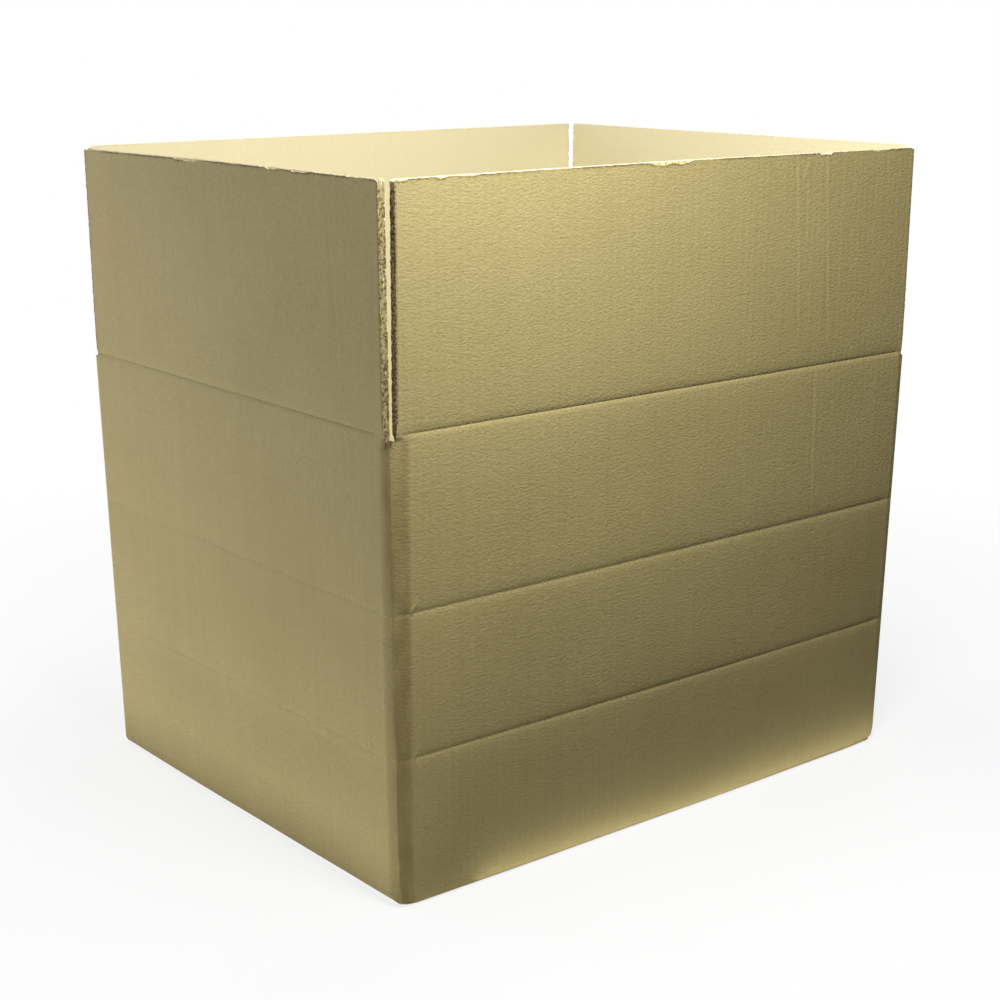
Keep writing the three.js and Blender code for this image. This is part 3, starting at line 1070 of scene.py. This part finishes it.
def top_flap(wall):
    """A flap above its fold strip: three liners, two sheets of fluting and the torn ends."""
    name = wall + "_flap"
    tall = LINER + TALL_FLUTE[1] / 2
    middle = LINER + TALL_FLUTE[1]
    short = middle + LINER + SHORT_FLUTE[1] / 2
    inner = BOARD - LINER
    pieces = [
        liner(wall, name + "_outer", 0.0, (OUTSIDE, CUT_EDGE, CUT_EDGE), LINER, 0.7 * MM),
        liner(wall, name + "_middle", middle, (CUT_EDGE, CUT_EDGE, CUT_EDGE), LINER, 0.6 * MM),
        liner(wall, name + "_inner", inner, (CUT_EDGE, INSIDE_PALER_AND_PAINTED_LIGHT, CUT_EDGE), LINER, 0.8 * MM),
        fluting(wall, name + "_tall", TALL_FLUTE, tall),
        fluting(wall, name + "_short", SHORT_FLUTE, short),
        torn_end(wall, 0),
        torn_end(wall, 1),
    ]
    piece = join(name + "_board", pieces)
    smooth(piece, 40)
    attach(piece, name)
    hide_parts(name)


def fold_strip(wall):
    """The strip of board at the fold between a wall and its flap."""
    name = wall + "_flap"
    fold = FOLD_HEIGHTS[name]
    half = WALLS[wall][1]
    acrosses = graded(-1, 1, 8 * MM / half, 2 * MM / half, 7 * MM / half)
    ups = steps(fold - FOLD_STRIP, CREASE_HEIGHT, 0.8 * MM)
    ups += steps(CREASE_HEIGHT, fold + FOLD_STRIP, 0.8 * MM)[1:]

    def place(across, up):
        along = flap_along(wall, across, up)
        into_wall = ease((CREASE_HEIGHT - up) / (CREASE_HEIGHT - fold + FOLD_STRIP))
        out = layer_relief(wall, along, up, 0.0) - into_wall * fold_inset(wall, along)
        return on_wall(wall, along, out, up)

    sheet = board_sheet(name + "_fold", acrosses, ups, place)
    # Marks where the board is painted darker: painted shade and crushed board's hue
    mark(sheet, "crushed", crush_and_shade_amount)
    use_materials(sheet, OUTSIDE, INSIDE_PALER_AND_PAINTED_LIGHT, SLOT_EDGE)
    thicken(sheet, BOARD, inner=1, rim=2)
    facing_y = wall in ("front", "back")
    flatten_inside(sheet, (1,) if facing_y else (0,))
    smooth(sheet, 40)
    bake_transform(sheet)


# Stage


def floor():
    """A pale floor. Only its strip beside the box throws light back on the front wall."""
    bpy.ops.object.select_all(action="DESELECT")
    bpy.ops.mesh.primitive_plane_add(size=14)
    plane = bpy.context.object
    plane.name = "floor"
    material, nodes, links = new_material("pale_floor")
    shader = nodes["Principled BSDF"]
    shader.inputs["Roughness"].default_value = 0.9
    shader.inputs["Specular IOR Level"].default_value = 0.1
    place = nodes.new("ShaderNodeTexCoord").outputs["Object"]
    split = nodes.new("ShaderNodeSeparateXYZ")
    links.new(place, split.inputs[0])
    slant = math_node(nodes, links, "MULTIPLY", split.outputs["X"], FLOOR_STRIP_SLANT)
    edge = math_node(nodes, links, "ADD", split.outputs["Y"], slant)
    front_of_strip = -HALF_WIDTH - FLOOR_STRIP
    behind_edge = range_node(
        nodes, links, edge, front_of_strip - 4 * MM, front_of_strip, FLOOR_DARK, FLOOR_PALE)
    beside = range_node(
        nodes, links, split.outputs["X"], -HALF_LENGTH - 20 * MM, -HALF_LENGTH, FLOOR_PALE, FLOOR_DARK)
    pale = math_node(nodes, links, "MAXIMUM", behind_edge, beside)
    seen = nodes.new("ShaderNodeLightPath").outputs["Is Camera Ray"]
    colour = mix_colour(nodes, links, seen, pale, FLOOR_COLOUR)
    links.new(colour, shader.inputs["Base Color"])
    glow = nodes.new("ShaderNodeEmission")
    glow.inputs["Color"].default_value = (1, 1, 1, 1)
    glow.inputs["Strength"].default_value = 1
    distance = nodes.new("ShaderNodeVectorMath")
    distance.operation = "LENGTH"
    links.new(place, distance.inputs[0])
    plain = range_node(nodes, links, distance.outputs["Value"], *FLOOR_FADE, FLOOR_GLOW, 1.0)
    mixed = nodes.new("ShaderNodeMixShader")
    links.new(math_node(nodes, links, "MULTIPLY", seen, plain), mixed.inputs[0])
    links.new(shader.outputs["BSDF"], mixed.inputs[1])
    links.new(glow.outputs["Emission"], mixed.inputs[2])
    links.new(mixed.outputs["Shader"], nodes["Material Output"].inputs["Surface"])
    plane.data.materials.append(material)


def area_light(name, place, target, size, power, colour):
    light = bpy.data.lights.new(name, "AREA")
    light.shape = "RECTANGLE"
    light.size, light.size_y = size
    light.energy = power
    light.color = colour
    lamp = bpy.data.objects.new(name, light)
    lamp.location = place
    toward = Vector(target) - Vector(place)
    lamp.rotation_euler = toward.to_track_quat("-Z", "Y").to_euler()
    lamp.visible_camera = False
    bpy.context.collection.objects.link(lamp)


def studio():
    """White all round to the camera, a faint even light to everything else, and the lamps."""
    world = bpy.data.worlds.new("studio")
    bpy.context.scene.world = world
    world.use_nodes = True
    nodes = world.node_tree.nodes
    links = world.node_tree.links
    background = nodes["Background"]
    background.inputs["Color"].default_value = (1, 1, 1, 1)
    path = nodes.new("ShaderNodeLightPath")
    seen = math_node(
        nodes, links, "MAXIMUM", path.outputs["Is Camera Ray"], path.outputs["Is Glossy Ray"])
    strength = range_node(nodes, links, seen, 0, 1, WORLD_FILL, 1.0)
    links.new(strength, background.inputs["Strength"])
    for light in LIGHTS:
        area_light(*light)


def camera():
    data = bpy.data.cameras.new("photo_camera")
    data.lens = CAMERA_LENS
    data.sensor_width = 36
    data.shift_y = CAMERA_SHIFT_UP
    data.clip_end = 50
    viewer = bpy.data.objects.new("photo_camera", data)
    turn = Matrix.Rotation(-CAMERA_TURN, 4, "Z")
    tilt = Matrix.Rotation(math.pi / 2 + CAMERA_TILT, 4, "X")
    roll = Matrix.Rotation(CAMERA_ROLL, 4, "Z")
    viewer.rotation_euler = (turn @ tilt @ roll).to_euler()
    viewer.location = CAMERA_PLACE
    bpy.context.collection.objects.link(viewer)
    bpy.context.scene.camera = viewer


folded_sheet()
for wall_name in WALLS:
    top_flap(wall_name)
    fold_strip(wall_name)
floor()
studio()
camera()
bpy.context.scene.view_settings.view_transform = "Standard"
